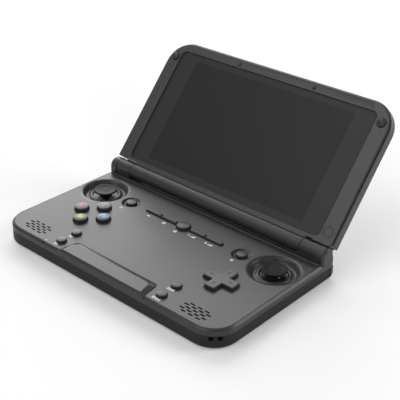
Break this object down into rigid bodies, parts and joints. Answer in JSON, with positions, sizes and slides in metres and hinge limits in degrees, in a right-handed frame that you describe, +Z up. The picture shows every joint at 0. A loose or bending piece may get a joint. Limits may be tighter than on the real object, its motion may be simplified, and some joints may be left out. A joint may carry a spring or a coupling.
{
  "type": "clamshell handheld game console",
  "caption": "Open clamshell handheld game console with a hinged screen lid, two tilting sticks, a directional pad, face buttons, centre keys and shoulder buttons.",
  "frame": {"origin": "on the surface it stands on, under the middle of the whole object with its lid open as pictured", "axes": "+X to the right for a user who faces the screen, +Y to the back, +Z up"},
  "size_m": [0.154, 0.1438, 0.0785],
  "materials": {
    "case_plastic": "fine satin texture, charcoal",
    "lid_plastic": "fine satin texture, charcoal",
    "bezel_plastic": "smooth satin, charcoal",
    "plate_plastic": "satin, charcoal",
    "board": "green solder mask",
    "battery_wrap": "foil wrap",
    "speaker_body": "moulded, dark",
    "membrane_rubber": "soft, grey",
    "inner_plastic": "moulded, dark",
    "socket_metal": "plated sheet",
    "jack_plastic": "moulded, black",
    "steel": "turned",
    "sleeve_brass": "turned",
    "foot_rubber": "dense, dark",
    "light_pipe": "clear",
    "stick_rubber": "smooth, dark",
    "key_plastic": "smooth satin, charcoal",
    "shoulder_plastic": "smooth satin, charcoal",
    "cover_glass": "tinted, smooth",
    "display": "dark, switched off",
    "flat_cable": "film"
  },
  "bodies": {
    "base": {"bottom_case": "case_plastic", "deck_case": "case_plastic", "front_plate": "plate_plastic", "main_board": "board", "battery_pack": "battery_wrap", "speaker_left": "speaker_body", "speaker_right": "speaker_body", "membrane_left": "membrane_rubber", "membrane_right": "membrane_rubber", "membrane_centre": "membrane_rubber", "stick_housing_left": "inner_plastic", "stick_housing_right": "inner_plastic", "stick_ring_left": "inner_plastic", "stick_ring_right": "inner_plastic", "headphone_jack": "jack_plastic", "usb_socket": "socket_metal", "hdmi_socket": "socket_metal", "card_slot": "socket_metal", "shoulder_switches": "inner_plastic", "hinge_shafts": "steel", "case_screws": "steel", "rubber_feet": "foot_rubber", "status_light": "light_pipe"},
    "lid": {"lid_cover": "lid_plastic", "lid_bezel": "bezel_plastic", "screen_glass": "cover_glass", "display_panel": "display", "lid_bumpers": "foot_rubber", "lid_nubs": "foot_rubber", "screw_covers": "bezel_plastic", "lid_screws": "steel", "hinge_sleeves": "sleeve_brass", "display_cable": "flat_cable"},
    "face_button_left": {"face_button_left": "key_plastic"},
    "face_button_right": {"face_button_right": "key_plastic"},
    "face_button_upper": {"face_button_upper": "key_plastic"},
    "face_button_lower": {"face_button_lower": "key_plastic"},
    "small_button_left_upper": {"small_button_left_upper": "key_plastic"},
    "small_button_left_lower": {"small_button_left_lower": "key_plastic"},
    "small_button_right_upper": {"small_button_right_upper": "key_plastic"},
    "small_button_right_lower": {"small_button_right_lower": "key_plastic"},
    "stick_side_button_left": {"stick_side_button_left": "key_plastic"},
    "stick_side_button_right": {"stick_side_button_right": "key_plastic"},
    "power_button": {"power_button": "key_plastic"},
    "centre_key_left_inner": {"centre_key_left_inner": "key_plastic"},
    "centre_key_left_outer": {"centre_key_left_outer": "key_plastic"},
    "centre_key_right_inner": {"centre_key_right_inner": "key_plastic"},
    "centre_key_right_outer": {"centre_key_right_outer": "key_plastic"},
    "shoulder_button_left_inner": {"shoulder_button_left_inner": "shoulder_plastic"},
    "shoulder_button_left_outer": {"shoulder_button_left_outer": "shoulder_plastic"},
    "shoulder_button_right_inner": {"shoulder_button_right_inner": "shoulder_plastic"},
    "shoulder_button_right_outer": {"shoulder_button_right_outer": "shoulder_plastic"},
    "pad_rocker": {"pad_rocker": "inner_plastic"},
    "directional_pad": {"directional_pad": "key_plastic"},
    "stick_yoke_left": {"stick_yoke_left": "inner_plastic"},
    "stick_left": {"stick_shaft_left": "inner_plastic", "stick_cap_left": "stick_rubber"},
    "stick_yoke_right": {"stick_yoke_right": "inner_plastic"},
    "stick_right": {"stick_shaft_right": "inner_plastic", "stick_cap_right": "stick_rubber"}
  },
  "joints": [
    {"name": "lid_hinge", "type": "hinge", "parent": "base", "child": "lid", "pos_m": [0, 0.0125, 0.0149], "axis": [1, 0, 0], "range_deg": [-24, 131]},
    {"name": "face_button_left_press", "type": "slide", "parent": "base", "child": "face_button_left", "axis": [0, 0, -1], "range_m": [0, 0.001], "stiffness_N_per_m": 600},
    {"name": "face_button_right_press", "type": "slide", "parent": "base", "child": "face_button_right", "axis": [0, 0, -1], "range_m": [0, 0.001], "stiffness_N_per_m": 600},
    {"name": "face_button_upper_press", "type": "slide", "parent": "base", "child": "face_button_upper", "axis": [0, 0, -1], "range_m": [0, 0.001], "stiffness_N_per_m": 600},
    {"name": "face_button_lower_press", "type": "slide", "parent": "base", "child": "face_button_lower", "axis": [0, 0, -1], "range_m": [0, 0.001], "stiffness_N_per_m": 600},
    {"name": "small_button_left_upper_press", "type": "slide", "parent": "base", "child": "small_button_left_upper", "axis": [0, 0, -1], "range_m": [0, 0.0005], "stiffness_N_per_m": 1200},
    {"name": "small_button_left_lower_press", "type": "slide", "parent": "base", "child": "small_button_left_lower", "axis": [0, 0, -1], "range_m": [0, 0.0005], "stiffness_N_per_m": 1200},
    {"name": "small_button_right_upper_press", "type": "slide", "parent": "base", "child": "small_button_right_upper", "axis": [0, 0, -1], "range_m": [0, 0.0005], "stiffness_N_per_m": 1200},
    {"name": "small_button_right_lower_press", "type": "slide", "parent": "base", "child": "small_button_right_lower", "axis": [0, 0, -1], "range_m": [0, 0.0005], "stiffness_N_per_m": 1200},
    {"name": "stick_side_button_left_press", "type": "slide", "parent": "base", "child": "stick_side_button_left", "axis": [0, 0, -1], "range_m": [0, 0.0005], "stiffness_N_per_m": 1200},
    {"name": "stick_side_button_right_press", "type": "slide", "parent": "base", "child": "stick_side_button_right", "axis": [0, 0, -1], "range_m": [0, 0.0005], "stiffness_N_per_m": 1200},
    {"name": "power_button_press", "type": "slide", "parent": "base", "child": "power_button", "axis": [0, 0, -1], "range_m": [0, 0.0005], "stiffness_N_per_m": 1200},
    {"name": "centre_key_left_inner_press", "type": "slide", "parent": "base", "child": "centre_key_left_inner", "axis": [0, 0, -1], "range_m": [0, 0.0005], "stiffness_N_per_m": 1200},
    {"name": "centre_key_left_outer_press", "type": "slide", "parent": "base", "child": "centre_key_left_outer", "axis": [0, 0, -1], "range_m": [0, 0.0005], "stiffness_N_per_m": 1200},
    {"name": "centre_key_right_inner_press", "type": "slide", "parent": "base", "child": "centre_key_right_inner", "axis": [0, 0, -1], "range_m": [0, 0.0005], "stiffness_N_per_m": 1200},
    {"name": "centre_key_right_outer_press", "type": "slide", "parent": "base", "child": "centre_key_right_outer", "axis": [0, 0, -1], "range_m": [0, 0.0005], "stiffness_N_per_m": 1200},
    {"name": "shoulder_button_left_inner_press", "type": "slide", "parent": "base", "child": "shoulder_button_left_inner", "axis": [0, -1, 0], "range_m": [0, 0.0008], "stiffness_N_per_m": 900},
    {"name": "shoulder_button_left_outer_press", "type": "slide", "parent": "base", "child": "shoulder_button_left_outer", "axis": [0, -1, 0], "range_m": [0, 0.0008], "stiffness_N_per_m": 900},
    {"name": "shoulder_button_right_inner_press", "type": "slide", "parent": "base", "child": "shoulder_button_right_inner", "axis": [0, -1, 0], "range_m": [0, 0.0008], "stiffness_N_per_m": 900},
    {"name": "shoulder_button_right_outer_press", "type": "slide", "parent": "base", "child": "shoulder_button_right_outer", "axis": [0, -1, 0], "range_m": [0, 0.0008], "stiffness_N_per_m": 900},
    {"name": "pad_tilt_y", "type": "hinge", "parent": "base", "child": "pad_rocker", "pos_m": [0.0487, -0.0364, 0.0072], "axis": [1, 0, 0], "range_deg": [-3.5, 3.5], "stiffness_Nm_per_rad": 0.12},
    {"name": "pad_tilt_x", "type": "hinge", "parent": "pad_rocker", "child": "directional_pad", "pos_m": [0.0487, -0.0364, 0.0072], "axis": [0, 1, 0], "range_deg": [-3.5, 3.5], "stiffness_Nm_per_rad": 0.12},
    {"name": "stick_left_tilt_y", "type": "hinge", "parent": "base", "child": "stick_yoke_left", "pos_m": [-0.0611, -0.0107, 0.004], "axis": [1, 0, 0], "range_deg": [-12, 12], "stiffness_Nm_per_rad": 0.03},
    {"name": "stick_left_tilt_x", "type": "hinge", "parent": "stick_yoke_left", "child": "stick_left", "pos_m": [-0.0611, -0.0107, 0.004], "axis": [0, 1, 0], "range_deg": [-12, 12], "stiffness_Nm_per_rad": 0.03},
    {"name": "stick_right_tilt_y", "type": "hinge", "parent": "base", "child": "stick_yoke_right", "pos_m": [0.0611, -0.0107, 0.004], "axis": [1, 0, 0], "range_deg": [-12, 12], "stiffness_Nm_per_rad": 0.03},
    {"name": "stick_right_tilt_x", "type": "hinge", "parent": "stick_yoke_right", "child": "stick_right", "pos_m": [0.0611, -0.0107, 0.004], "axis": [0, 1, 0], "range_deg": [-12, 12], "stiffness_Nm_per_rad": 0.03}
  ]
}
